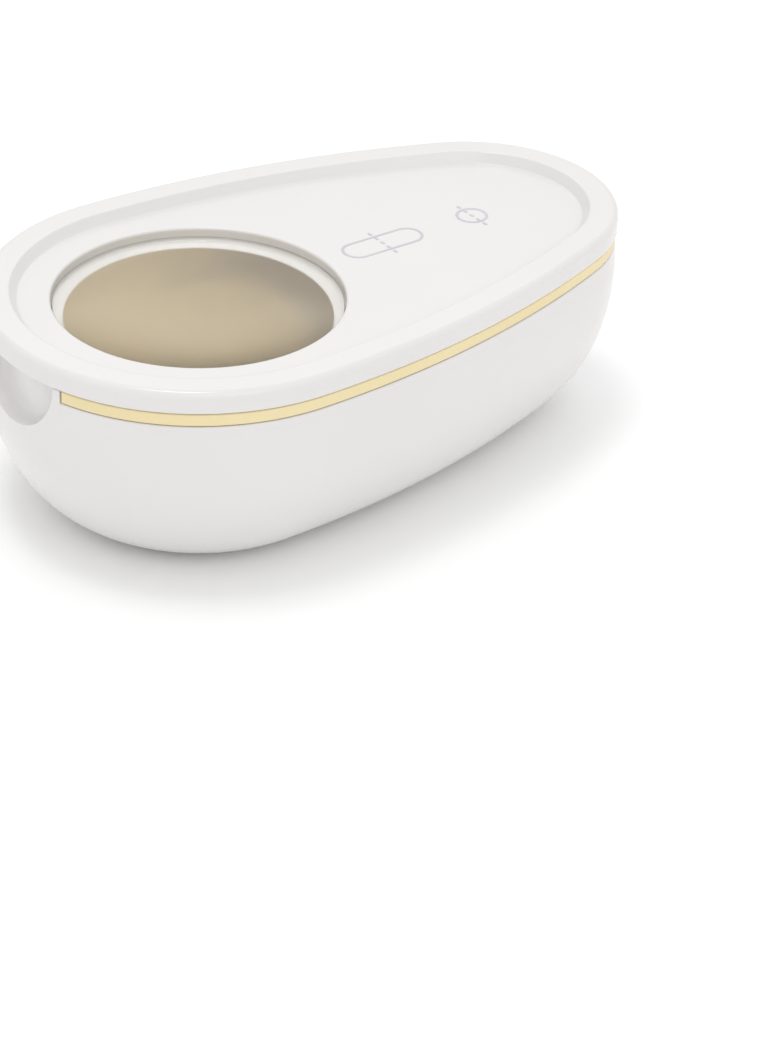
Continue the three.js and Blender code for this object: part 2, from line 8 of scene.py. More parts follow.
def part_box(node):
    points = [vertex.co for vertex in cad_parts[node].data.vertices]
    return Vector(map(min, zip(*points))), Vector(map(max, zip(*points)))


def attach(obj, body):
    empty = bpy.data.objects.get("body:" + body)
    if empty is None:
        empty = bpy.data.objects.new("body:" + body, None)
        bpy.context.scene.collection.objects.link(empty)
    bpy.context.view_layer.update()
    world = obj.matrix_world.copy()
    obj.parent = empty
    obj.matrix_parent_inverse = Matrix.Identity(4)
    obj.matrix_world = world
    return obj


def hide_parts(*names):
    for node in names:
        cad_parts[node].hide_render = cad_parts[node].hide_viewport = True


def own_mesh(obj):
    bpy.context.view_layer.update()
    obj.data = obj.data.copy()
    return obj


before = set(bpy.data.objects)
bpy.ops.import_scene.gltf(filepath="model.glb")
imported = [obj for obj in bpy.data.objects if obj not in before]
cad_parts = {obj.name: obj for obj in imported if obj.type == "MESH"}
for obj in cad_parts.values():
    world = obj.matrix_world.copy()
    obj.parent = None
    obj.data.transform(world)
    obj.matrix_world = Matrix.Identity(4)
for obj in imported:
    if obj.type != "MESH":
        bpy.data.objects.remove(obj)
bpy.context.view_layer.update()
mm = 0.001
print("frame loaded")

# outline and small helpers

# the case outline is four arcs that meet in line, as in the frame
caseOutline = {
    "wideRadius": 29.3 * mm,
    "narrowRadius": 20.2 * mm,
    "sideRadius": 146 * mm,
    "halfLength": 48 * mm,
    "seamHeight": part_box("inner_tray")[1].z,  # top of the tray rim
    "touchGap": 0.3 * mm,
}
wideX = caseOutline["wideRadius"] - caseOutline["halfLength"]
narrowX = caseOutline["halfLength"] - caseOutline["narrowRadius"]
seamZ = caseOutline["seamHeight"]
touchGap = caseOutline["touchGap"]


def smoothStep(low, high, value):
    share = min(1, max(0, (value - low) / (high - low)))
    return share * share * (3 - 2 * share)


def softMin(a, b, width):
    # the smaller of two, with a round corner of that width
    share = min(1, max(0, 0.5 + 0.5 * (b - a) / width))
    return b * (1 - share) + a * share - width * share * (1 - share)


def angleList(start, end, count, extra=()):
    # even steps, with extra angles put in so that a cut falls on a station
    angles = [start + (end - start) * i / count for i in range(count)]
    angles += [a for a in extra if start < a < end]
    return sorted(angles)


def stationList(cutAngles, rearAngles, tipSteps, tipAngle):
    # places round the outline, each an arc's centre, its radius and the angle on it
    toWide = caseOutline["sideRadius"] - caseOutline["wideRadius"]
    toNarrow = caseOutline["sideRadius"] - caseOutline["narrowRadius"]
    spacing = narrowX - wideX
    along = (toWide**2 - toNarrow**2 + spacing**2) / (2 * spacing)
    across = math.sqrt(toWide**2 - along**2)
    sideX = wideX + along
    wideTurn = math.atan2(across, -along)
    narrowTurn = math.atan2(across, spacing - along)
    tinyTurn = 0.0006  # both sides of a cut
    rear = [s * a + d for a in rearAngles for s in (-1, 1) for d in (-tinyTurn, tinyTurn)]
    cuts = [math.pi + s * a + d for a in cutAngles for s in (-1, 1) for d in (-tinyTurn, tinyTurn)]
    fullTurn = 2 * math.pi
    tipStart, tipEnd = math.pi - tipAngle, math.pi + tipAngle
    narrow = (narrowX, 0, caseOutline["narrowRadius"])
    wide = (wideX, 0, caseOutline["wideRadius"])
    near = (sideX, -across, caseOutline["sideRadius"])
    far = (sideX, across, caseOutline["sideRadius"])
    narrowSteps, sideSteps, wideSteps = 64, 44, 36
    arcs = [
        (*narrow, angleList(-narrowTurn, narrowTurn, narrowSteps, rear)),
        (*near, angleList(narrowTurn, wideTurn, sideSteps)),
        (*wide, angleList(wideTurn, tipStart, wideSteps, cuts)),
        (*wide, angleList(tipStart, tipEnd, tipSteps, cuts)),
        (*wide, angleList(tipEnd, fullTurn - wideTurn, wideSteps, cuts)),
        (*far, angleList(fullTurn - wideTurn, fullTurn - narrowTurn, sideSteps)),
    ]
    return [(x, y, radius, angle) for x, y, radius, angles in arcs for angle in angles]


def eggPoint(station, inset):
    x, y, radius, angle = station
    reach = radius - inset
    return Vector((x + reach * math.cos(angle), y + reach * math.sin(angle), 0))


def roundedPath(corners, turns=5, support=0.12 * mm):
    # corners are (inset, height, radius); a round corner gets an arc with a close line each side
    path = []
    for i, (across, height, radius) in enumerate(corners):
        here = Vector((across, height))
        if radius == 0 or i in (0, len(corners) - 1):
            path.append(here)
            continue
        before = Vector(corners[i - 1][:2]) - here
        after = Vector(corners[i + 1][:2]) - here
        half = before.angle(after) / 2
        reach = min(radius / math.tan(half), 0.46 * before.length, 0.46 * after.length)
        radius = reach * math.tan(half)
        before.normalize()
        after.normalize()
        centre = here + (before + after).normalized() * radius / math.sin(half)
        startArm = here + before * reach - centre
        endArm = here + after * reach - centre
        sweep = startArm.angle_signed(endArm)
        path.append(here + before * (reach + min(support, 0.04 * mm + 0.3 * reach)))
        for k in range(turns + 1):
            arm = startArm.copy()
            arm.rotate(Matrix.Rotation(-sweep * k / turns, 2))
            path.append(centre + arm)
        path.append(here + after * (reach + min(support, 0.04 * mm + 0.3 * reach)))
    return path


def ringsToMesh(bm, columns, closed):
    # columns hold the same rows at each station; a ring is extruded and moved for every row
    count = len(columns)
    ring = sorted(bmesh.ops.create_circle(bm, segments=count, radius=1)["verts"], key=lambda v: v.index)
    for vert, column in zip(ring, columns):
        vert.co = column[0]
    firstRing = ring
    for row in range(1, len(columns[0])):
        edges = [bm.edges.get((ring[i], ring[(i + 1) % count])) for i in range(count)]
        made = set(bmesh.ops.extrude_edge_only(bm, edges=edges)["geom"])
        nextRing = []
        for vert, column in zip(ring, columns):
            new = next(e.other_vert(vert) for e in vert.link_edges if e.other_vert(vert) in made)
            nextRing.append(new)
        for new, column in zip(nextRing, columns):
            new.co = column[row]
        ring = nextRing
    if not closed:
        for loop in (firstRing, ring):
            edges = [bm.edges.get((loop[i], loop[(i + 1) % count])) for i in range(count)]
            bmesh.ops.edgeloop_fill(bm, edges=edges)


def finishMesh(bm, name, body, replaced, material, sharpAngle=38):
    bmesh.ops.remove_doubles(bm, verts=bm.verts, dist=2e-7)
    bmesh.ops.recalc_face_normals(bm, faces=bm.faces)
    mesh = bpy.data.meshes.new(name)
    bm.to_mesh(mesh)
    bm.free()
    mesh.shade_smooth()
    mesh.set_sharp_from_angle(angle=math.radians(sharpAngle))
    piece = bpy.data.objects.new(name, mesh)
    bpy.context.scene.collection.objects.link(piece)
    piece.data.materials.append(material)
    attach(piece, body)
    if replaced:
        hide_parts(*replaced)
    return piece


def turnedPiece(bm, profile, axis, centre, steps):
    # spins a line of (radius, along) points once round the axis through centre
    axis = Vector(axis)
    arm = Vector((1, 0, 0)) if abs(axis.x) < 0.5 else Vector((0, 0, 1))
    verts = [bm.verts.new(Vector(centre) + arm * r + axis * a) for r, a in profile]
    edges = [bm.edges.new(pair) for pair in zip(verts, verts[1:])]
    bmesh.ops.spin(
        bm,
        geom=verts + edges,
        cent=centre,
        axis=axis,
        angle=2 * math.pi,
        steps=steps,
        use_merge=True,
    )
    bmesh.ops.remove_doubles(bm, verts=bm.verts, dist=2e-7)


def addBlock(bm, low, high, bevelWidth=0, segments=3):
    low, high = Vector(low), Vector(high)
    made = bmesh.ops.create_cube(bm, size=1)["verts"]
    bmesh.ops.scale(bm, vec=high - low, verts=made)
    bmesh.ops.translate(bm, vec=(low + high) / 2, verts=made)
    if bevelWidth:
        edges = list({e for v in made for e in v.link_edges})
        bmesh.ops.bevel(
            bm,
            geom=edges,
            offset=bevelWidth,
            segments=segments,
            profile=0.5,
            affect="EDGES",
            material=-1,
        )


def cutWith(piece, name, blocks):
    # a hidden block cuts the piece, and its result is kept as the piece's own mesh
    bm = bmesh.new()
    for low, high in blocks:
        addBlock(bm, low, high)
    cutterMesh = bpy.data.meshes.new(name)
    bm.to_mesh(cutterMesh)
    bm.free()
    applyCut(piece, bpy.data.objects.new(name, cutterMesh))


def applyCut(piece, cutter):
    bpy.context.scene.collection.objects.link(cutter)
    cut = piece.modifiers.new("cut", "BOOLEAN")
    cut.operation = "DIFFERENCE"
    cut.solver = "EXACT"
    cut.object = cutter
    bpy.context.view_layer.update()
    evaluated = piece.evaluated_get(bpy.context.evaluated_depsgraph_get())
    result = bpy.data.meshes.new_from_object(evaluated)
    if not result.polygons:
        raise RuntimeError("the cut left nothing of " + piece.name)
    piece.modifiers.remove(cut)
    piece.data = result
    bpy.data.objects.remove(cutter)


# materials

def toLinear(hexColour):
    channels = [int(hexColour[i : i + 2], 16) / 255 for i in (1, 3, 5)]
    linear = [c / 12.92 if c <= 0.04045 else ((c + 0.055) / 1.055) ** 2.4 for c in channels]
    return (*linear, 1)


def addNode(tree, kind, settings=None, links=None):
    # links name this node's inputs and give the output that feeds each
    node = tree.nodes.new(kind)
    for key, value in (settings or {}).items():
        if isinstance(key, str) and hasattr(node, key):
            setattr(node, key, value)
        else:
            node.inputs[key].default_value = value
    for key, source in (links or {}).items():
        tree.links.new(source, node.inputs[key])
    return node


def mouldedPlastic(name, look):
    # injection moulded plastic: a faint tone drift, a fine orange peel and a wandering gloss
    material = bpy.data.materials.new(name)
    material.use_nodes = True
    tree = material.node_tree
    tree.nodes.clear()
    place = addNode(tree, "ShaderNodeTexCoord").outputs["Object"]
    drift = addNode(
        tree,
        "ShaderNodeTexNoise",
        {"Scale": 1 / (look["driftSize"] * mm), "Detail": 2.0, "Roughness": 0.5},
        {"Vector": place},
    )
    grain = addNode(
        tree,
        "ShaderNodeTexNoise",
        {"Scale": 1 / (look["grainSize"] * mm), "Detail": 3.0, "Roughness": 0.6},
        {"Vector": place},
    )
    tone = addNode(
        tree,
        "ShaderNodeValToRGB",
        links={"Fac": drift.outputs["Fac"]},
    )
    tone.color_ramp.elements[0].position = 0.3
    tone.color_ramp.elements[1].position = 0.7
    tone.color_ramp.elements[0].color = toLinear(look["shade"])
    tone.color_ramp.elements[1].color = toLinear(look["colour"])
    gloss = addNode(
        tree,
        "ShaderNodeMapRange",
        {"From Min": 0.25, "From Max": 0.75, "To Min": look["gloss"][0], "To Max": look["gloss"][1]},
        {"Value": grain.outputs["Fac"]},
    )
    peel = addNode(
        tree,
        "ShaderNodeBump",
        {"Strength": look["peel"], "Distance": 0.02 * mm},
        {"Height": grain.outputs["Fac"]},
    )
    skin = addNode(
        tree,
        "ShaderNodeBsdfPrincipled",
        {"IOR": look["ior"], "Specular IOR Level": look.get("specular", 0.5)},
        {
            "Base Color": tone.outputs["Color"],
            "Roughness": gloss.outputs["Result"],
            "Normal": peel.outputs["Normal"],
        },
    )
    addNode(tree, "ShaderNodeOutputMaterial", links={"Surface": skin.outputs["BSDF"]})
    return material


# satin moulded ABS: bright white with soft, wide reflections
caseWhite = mouldedPlastic(
    "abs_satin_white",
    {
        "colour": "#e3e1e0",
        "shade": "#e1dfdd",
        "driftSize": 26,
        "grainSize": 1.6,
        "gloss": (0.2, 0.27),
        "peel": 0.012,
        "ior": 1.53,
    },
)
# fine spark-eroded ABS inside the lid: the same white, duller
innerWhite = mouldedPlastic(
    "abs_matt_white",
    {
        "colour": "#eae8e5",
        "shade": "#e6e4e0",
        "driftSize": 14,
        "grainSize": 0.5,
        "gloss": (0.42, 0.55),
        "peel": 0.05,
        "ior": 1.53,
    },
)
# moulded polypropylene: a waxy pale yellow, less glossy than the case
trayYellow = mouldedPlastic(
    "polypropylene_pale_yellow",
    {
        "colour": "#ecdcaf",
        "shade": "#e9d8a8",
        "driftSize": 18,
        "grainSize": 0.7,
        "gloss": (0.34, 0.44),
        "peel": 0.03,
        "ior": 1.49,
    },
)
# pad-printed grey ink: a thin matt film
printInk = mouldedPlastic(
    "ink_pad_printed_grey",
    {
        "colour": "#cbc8cf",
        "shade": "#c4c1c9",
        "driftSize": 5,
        "grainSize": 0.2,
        "gloss": (0.45, 0.6),
        "peel": 0.1,
        "ior": 1.5,
    },
)


def clearPlastic(name, look):
    # polished clear plastic: faint haze in the gloss and a slight ripple
    material = bpy.data.materials.new(name)
    material.use_nodes = True
    tree = material.node_tree
    tree.nodes.clear()
    place = addNode(tree, "ShaderNodeTexCoord").outputs["Object"]
    haze = addNode(
        tree,
        "ShaderNodeTexNoise",
        {"Scale": 1 / (look["hazeSize"] * mm), "Detail": 3.0},
        {"Vector": place},
    )
    gloss = addNode(
        tree,
        "ShaderNodeMapRange",
        {"From Min": 0.3, "From Max": 0.7, "To Min": look["gloss"][0], "To Max": look["gloss"][1]},
        {"Value": haze.outputs["Fac"]},
    )
    ripple = addNode(
        tree,
        "ShaderNodeBump",
        {"Strength": 0.05, "Distance": 0.02 * mm},
        {"Height": haze.outputs["Fac"]},
    )
    skin = addNode(
        tree,
        "ShaderNodeBsdfPrincipled",
        {"Base Color": toLinear(look["colour"]), "IOR": look["ior"], "Transmission Weight": 1.0},
        {"Roughness": gloss.outputs["Result"], "Normal": ripple.outputs["Normal"]},
    )
    # light from the lamps and from the tray goes straight through
    passing = addNode(tree, "ShaderNodeBsdfTransparent", {"Color": toLinear(look["tint"])})
    rays = addNode(tree, "ShaderNodeLightPath")
    both = addNode(
        tree,
        "ShaderNodeMath",
        {"operation": "MAXIMUM"},
        {0: rays.outputs["Is Shadow Ray"], 1: rays.outputs["Is Diffuse Ray"]},
    )
    mixed = addNode(
        tree,
        "ShaderNodeMixShader",
        links={0: both.outputs[0], 1: skin.outputs["BSDF"], 2: passing.outputs["BSDF"]},
    )
    addNode(tree, "ShaderNodeOutputMaterial", links={"Surface": mixed.outputs["Shader"]})
    return material


# polished styrene acrylonitrile: clear, with a very slight haze
windowClear = clearPlastic(
    "styrene_acrylonitrile_clear",
    {
        "colour": "#fefdfb",
        "tint": "#ffffff",
        "hazeSize": 9,
        "gloss": (0.11, 0.15),
        "ior": 1.5,
    },
)


def groundSteel(name, look):
    # stainless steel with grinding marks that run one way
    material = bpy.data.materials.new(name)
    material.use_nodes = True
    tree = material.node_tree
    tree.nodes.clear()
    place = addNode(tree, "ShaderNodeTexCoord").outputs["Object"]
    stretch = addNode(tree, "ShaderNodeMapping", {"Scale": look["stretch"]}, {"Vector": place})
    marks = addNode(
        tree,
        "ShaderNodeTexNoise",
        {"Scale": 1 / (look["markWidth"] * mm), "Detail": 4.0},
        {"Vector": stretch.outputs["Vector"]},
    )
    gloss = addNode(
        tree,
        "ShaderNodeMapRange",
        {"From Min": 0.3, "From Max": 0.7, "To Min": look["gloss"][0], "To Max": look["gloss"][1]},
        {"Value": marks.outputs["Fac"]},
    )
    tone = addNode(tree, "ShaderNodeValToRGB", links={"Fac": marks.outputs["Fac"]})
    tone.color_ramp.elements[0].color = toLinear(look["shade"])
    tone.color_ramp.elements[1].color = toLinear(look["colour"])
    grind = addNode(
        tree,
        "ShaderNodeBump",
        {"Strength": look["grind"], "Distance": 0.01 * mm},
        {"Height": marks.outputs["Fac"]},
    )
    skin = addNode(
        tree,
        "ShaderNodeBsdfPrincipled",
        {"Metallic": 1.0},
        {
            "Base Color": tone.outputs["Color"],
            "Roughness": gloss.outputs["Result"],
            "Normal": grind.outputs["Normal"],
        },
    )
    addNode(tree, "ShaderNodeOutputMaterial", links={"Surface": skin.outputs["BSDF"]})
    return material


# ground stainless blade: marks run down to the edge
bladeSteel = groundSteel(
    "stainless_ground",
    {
        "colour": "#d9dadb",
        "shade": "#b7b9bb",
        "stretch": (4, 4, 0.3),
        "markWidth": 0.6,
        "gloss": (0.2, 0.34),
        "grind": 0.3,
    },
)
# drawn and plated wire and screws: brighter, with a fine grain
platedSteel = groundSteel(
    "steel_zinc_plated",
    {
        "colour": "#cfd2d6",
        "shade": "#aeb2b8",
        "stretch": (1, 1, 1),
        "markWidth": 0.25,
        "gloss": (0.22, 0.36),
        "grind": 0.15,
    },
)
print("materials made")

# outer shell: a deep bowl with a thumb scoop at the wide tip

shellSizes = {
    "wall": 1.8 * mm,
    "baseRoundWidth": 14.5 * mm,
    "baseRoundHeight": 23.2 * mm,
    "footHeight": 0.4 * mm,
    "rimInset": 0.2 * mm,  # the side leans in a little towards the rim
    "rimRound": 0.35 * mm,
    "rimHeight": seamZ - 1.8 * mm,
    "padHalfWidth": 9.5 * mm,
    "padDepth": 3 * mm,
    "scoopDepth": 2.4 * mm,
    "scoopRoundness": 6 * mm,
    "scoopHalfWidth": 8.6 * mm,
    "scoopHeight": 8.2 * mm,
    "scoopBlend": 1.6 * mm,
    "notchHalfWidth": 10.2 * mm,
    "notchBottom": 24.5 * mm,
}
padAngle = math.asin(shellSizes["padHalfWidth"] / caseOutline["wideRadius"])
notchAngle = math.asin(shellSizes["notchHalfWidth"] / caseOutline["narrowRadius"])


def isAtWideTip(station, halfAngle):
    x, _, radius, angle = station
    isWideArc = x == wideX and radius == caseOutline["wideRadius"]
    return isWideArc and abs(angle - math.pi) < halfAngle


def isAtNarrowTip(station, halfAngle):
    return station[0] == narrowX and abs(station[3]) < halfAngle


def ellipsePath(startInset, floor, width, height, rows, outward):
    # a quarter ellipse between the flat floor and the upright side
    turns = [math.pi / 2 * i / rows for i in range(rows + 1)]
    path = [
        (startInset + width * (1 - math.sin(t)), floor + height * (1 - math.cos(t))) for t in turns
    ]
    return path if outward else path[::-1]


def shellColumn(station):
    look = shellSizes
    rimZ, innerInset = look["rimHeight"], look["wall"]
    if isAtWideTip(station, padAngle):
        rimZ, innerInset = seamZ, look["padDepth"]
    if isAtNarrowTip(station, notchAngle):
        rimZ = look["notchBottom"]
    foot = look["footHeight"]
    path = [(look["baseRoundWidth"] + 0.1 * mm, 0), (look["baseRoundWidth"], 0.1 * mm)]
    path += ellipsePath(0, foot, look["baseRoundWidth"], look["baseRoundHeight"] - foot, 60, True)
    sideTop = look["baseRoundHeight"]
    for i in range(1, 22):
        height = sideTop + (rimZ - look["rimRound"] - 0.1 * mm - sideTop) * i / 22
        path.append((look["rimInset"] * smoothStep(sideTop, look["rimHeight"], height), height))
    outerTop = look["rimInset"] * smoothStep(sideTop, look["rimHeight"], rimZ)
    corners = [
        (outerTop, rimZ - look["rimRound"] - 0.1 * mm, 0),
        (outerTop, rimZ, look["rimRound"]),
        (innerInset, rimZ, look["rimRound"]),
        (innerInset, 19 * mm, 0),
    ]
    path += [tuple(p) for p in roundedPath(corners, 4)]
    path += ellipsePath(look["wall"], look["wall"], look["baseRoundWidth"], 14 * mm, 14, False)
    points = []
    for inset, height in path:
        point = eggPoint(station, inset)
        point.z = height
        points.append(point)
    return points


def cutScoop(shell):
    # a stretched ball cuts the recess; its inner side is laid on a wall that follows the case
    look = shellSizes
    bm = bmesh.new()
    verts = bmesh.ops.create_uvsphere(bm, u_segments=128, v_segments=96, radius=1)["verts"]
    bmesh.ops.rotate(bm, cent=(0, 0, 0), matrix=Matrix.Rotation(math.pi / 2, 3, "Y"), verts=verts)
    reaches = (look["scoopRoundness"], look["scoopHalfWidth"], look["scoopHeight"])
    bmesh.ops.scale(bm, vec=reaches, verts=verts)
    bmesh.ops.translate(bm, vec=(-caseOutline["halfLength"], 0, seamZ + 0.01 * mm), verts=verts)
    wallRadius = caseOutline["wideRadius"] - look["scoopDepth"]
    for vert in verts:
        arm = Vector((vert.co.x - wideX, vert.co.y, 0))
        reach = -softMin(-arm.length, -wallRadius, look["scoopBlend"])
        vert.co += arm.normalized() * (reach - arm.length)
    bmesh.ops.recalc_face_normals(bm, faces=bm.faces)
    cutterMesh = bpy.data.meshes.new("scoop_cutter")
    bm.to_mesh(cutterMesh)
    bm.free()
    applyCut(shell, bpy.data.objects.new("scoop_cutter", cutterMesh))
    shell.data.shade_smooth()
    shell.data.set_sharp_from_angle(angle=math.radians(32))


hingeSizes = {
    "x": caseOutline["halfLength"] - 2.6 * mm,
    "z": seamZ - 0.4 * mm,
    "barrelRadius": 1.9 * mm,
    "pinRadius": 0.6 * mm,
    "knuckleHalfWidth": 3 * mm,
    "earStart": 3.3 * mm,
    "earEnd": 5.8 * mm,
    "webThickness": 1.6 * mm,
    "edge": 0.2 * mm,
    "webSetback": 0.4 * mm,
    "webFoot": 19 * mm,
    "shelfRear": 46.6 * mm,
    "shelfTop": 24 * mm,
}


def addBarrel(bm, low, high):
    # a hollow barrel along Y with softened ends
    look = hingeSizes
    outer, inner, edge = look["barrelRadius"], look["pinRadius"] + touchGap, look["edge"]
    profile = [
        (inner, low),
        (outer - edge, low),
        (outer - 0.3 * edge, low + 0.3 * edge),
        (outer, low + edge),
        (outer, high - edge),
        (outer - 0.3 * edge, high - 0.3 * edge),
        (outer - edge, high),
        (inner, high),
        (inner, low),
    ]
    turnedPiece(bm, profile, (0, 1, 0), (look["x"], 0, look["z"]), 40)


def makeShell(stations):
    bm = bmesh.new()
    ringsToMesh(bm, [shellColumn(s) for s in stations], False)
    shell = finishMesh(bm, "outer_shell_skin", "base", ["outer_shell"], caseWhite)
    cutScoop(shell)


def makeEars():
    bm = bmesh.new()
    look = hingeSizes
    webRear = look["x"] - look["webSetback"]
    webFront = webRear - look["webThickness"]
    webTop = look["z"] - look["pinRadius"] - touchGap
    for side in (1, -1):
        low, high = sorted((side * look["earStart"], side * look["earEnd"]))
        addBarrel(bm, low, high)
        webLow = (webFront, low, look["webFoot"])
        addBlock(bm, webLow, (webRear, high, webTop), look["edge"])
        addBlock(bm, webLow, (look["shelfRear"], high, look["shelfTop"]), look["edge"])
    return finishMesh(bm, "outer_shell_ears", "base", [], caseWhite)


shellStations = stationList([padAngle], [notchAngle], 110, 1.1 * padAngle)
makeShell(shellStations)
makeEars()
print("outer shell made")

# inner tray: rim, cutting platform, guide walls and storage bowl

traySizes = {
    "wall": 1.2 * mm,
    "rimInset": 0.22 * mm,
    "rimWidth": 4.6 * mm,
    "flange": 1.66 * mm,
    "outerRound": 0.18 * mm,
    "innerRound": 0.9 * mm,
    "platformZ": seamZ - 11.5 * mm,
    "platformRound": 1.3 * mm,
    "wallLean": 0.3 * mm,
    "bulkheadX": caseOutline["halfLength"] - 8 * mm,
    "bulkheadRound": 3 * mm,
    "dividerX": 2 * mm,
    "dividerCorner": 9 * mm,
    "dividerRound": 0.9 * mm,
    "bowlFloor": 4.2 * mm,
    "bowlRound": 7.5 * mm,
    "padGap": 9.8 * mm,
    "hingeBayX": 43.1 * mm,
    "slitHalfWidth": 0.6 * mm,
    "slitDepth": 0.9 * mm,
}
trayPadAngle = math.asin(traySizes["padGap"] / caseOutline["wideRadius"])
bowlInset = traySizes["rimWidth"] + 1.45 * mm  # the bowl's wall at the height of the platform


def openingPoint(station, inset, height):
    # inside the rim the outline stops at the straight bulkhead
    look = traySizes
    point = eggPoint(station, inset)
    point.x = softMin(point.x, look["bulkheadX"] - (inset - look["rimWidth"]), look["bulkheadRound"])
    point.z = height
    return point


def sideY(x, inset):
    # half the width of the outline on its long side
    toWide = caseOutline["sideRadius"] - caseOutline["wideRadius"]
    toNarrow = caseOutline["sideRadius"] - caseOutline["narrowRadius"]
    spacing = narrowX - wideX
    along = (toWide**2 - toNarrow**2 + spacing**2) / (2 * spacing)
    across = math.sqrt(toWide**2 - along**2)
    return math.sqrt((caseOutline["sideRadius"] - inset) ** 2 - (x - wideX - along) ** 2) - across


def bowlPoint(station, inwards, height):
    # the bowl's outline: the case's own curve, closed by the straight divider with round corners
    look = traySizes
    inset = bowlInset + inwards
    corner = max(look["dividerCorner"] - inwards, 0.8 * mm)
    cornerX = look["dividerX"] - inwards - corner
    plain = eggPoint(station, inset)
    if plain.x <= cornerX:
        plain.z = height
        return plain
    side = 1 if plain.y >= 0 else -1
    cornerY = sideY(cornerX, inset) - corner
    endX = look["bulkheadX"] - 1.5 * mm
    if plain.x < endX:
        turn = math.pi / 2 * (endX - plain.x) / (endX - cornerX)
        across = side * (cornerY + corner * math.sin(turn))
        spot = Vector((cornerX + corner * math.cos(turn), across, height))
        return spot
    endY = math.sqrt((caseOutline["narrowRadius"] - inset) ** 2 - (endX - narrowX) ** 2)
    return Vector((cornerX + corner, plain.y / endY * cornerY, height))


def trayColumn(station):
    look = traySizes
    flangeZ = seamZ - look["flange"]
    outerInset = look["rimInset"]
    if isAtWideTip(station, trayPadAngle):
        outerInset = shellSizes["padDepth"] + touchGap
    bodyInset = look["rimWidth"] - look["wall"]
    points = []
    for inset, height in ellipsePath(bodyInset, 2.6 * mm, 14.5 * mm, 23.2 * mm, 14, True):
        point = eggPoint(station, inset)
        point.x = min(point.x, look["bulkheadX"] + look["wall"])
        point.z = min(height, flangeZ - 0.4 * mm)
        points.append(point)
    corners = [
        (bodyInset, flangeZ - 0.1 * mm, 0),
        (bodyInset, flangeZ, 0),
        (outerInset, flangeZ, look["outerRound"]),
        (outerInset, seamZ, look["outerRound"]),
        (look["rimWidth"], seamZ, look["innerRound"]),
        (look["rimWidth"] + 0.02 * mm, seamZ - 2 * mm, 0),
    ]
    path = roundedPath(corners)
    for k, (inset, height) in enumerate(path):
        if inset > look["rimWidth"] - look["innerRound"] - 0.3 * mm and height > flangeZ + 0.2 * mm:
            points.append(openingPoint(station, inset, height))
            continue
        point = eggPoint(station, inset)
        if isAtNarrowTip(station, notchAngle):
            point.x = min(point.x, look["hingeBayX"])
        if k < 2:
            point.x = min(point.x, look["bulkheadX"] + look["wall"])
        point.z = height
        points.append(point)
    # the wall below the rim: upright beside the platform, following the case round the bowl
    narrowShare = smoothStep(-13 * mm, -5 * mm, eggPoint(station, look["rimWidth"]).x)
    top, bottom = seamZ - 2 * mm, look["platformZ"]
    radius = look["platformRound"]
    rows = [top + (bottom + radius - top) * i / 8 for i in range(1, 9)]
    rows += [bottom + radius * (1 - math.sin(math.pi / 2 * i / 6)) for i in range(1, 7)]
    for i, height in enumerate(rows):
        turn = math.pi / 2 * max(0, i - 7) / 6
        lean = look["wallLean"] * (top - height) / (top - bottom)
        upright = look["rimWidth"] + lean + radius * (1 - math.cos(turn))
        fall = (23.2 * mm + 3.8 * mm - height) / (23.2 * mm)
        curved = look["rimWidth"] + 14.5 * mm * (1 - math.sqrt(1 - max(0, fall) ** 2))
        inset = curved + (upright - curved) * narrowShare
        points.append(openingPoint(station, inset, height))
    # across the platform to the divider edge, then down round the bowl to its floor
    edge = look["dividerRound"]
    start = points[-1]
    lip = bowlPoint(station, -edge * narrowShare, bottom)
    points.append(start.lerp(lip, 0.02))
    points.append(start.lerp(lip, 0.98))
    for i in range(7):
        turn = math.pi / 2 * i / 6
        inwards = -edge * (1 - math.sin(turn)) * narrowShare
        points.append(bowlPoint(station, inwards, bottom - edge * (1 - math.cos(turn)) - 0.02 * mm * i))
    depth = bottom - edge - 0.12 * mm - look["bowlFloor"]
    for i in range(1, 19):
        turn = math.pi / 2 * i / 18
        inwards = look["bowlRound"] * (1 - math.cos(turn))
        points.append(bowlPoint(station, inwards, bottom - edge - 0.12 * mm - depth * math.sin(turn)))
    return points


def guideLine(share):
    # the middle of one guide wall, from the narrow end to the mouth
    knots = [(38, 5), (27.8, 7.6), (20, 10.85), (14, 11.5), (8, 10.2)]
    spot = share * (len(knots) - 1)
    i = min(int(spot), len(knots) - 2)
    t = spot - i
    near = [knots[max(0, min(len(knots) - 1, i + k))] for k in (-1, 0, 1, 2)]
    weights = [
        0.5 * (-t + 2 * t**2 - t**3),
        0.5 * (2 - 5 * t**2 + 3 * t**3),
        0.5 * (t + 4 * t**2 - 3 * t**3),
        0.5 * (-(t**2) + t**3),
    ]
    return Vector([sum(w * p[axis] for w, p in zip(weights, near)) * mm for axis in (0, 1)])


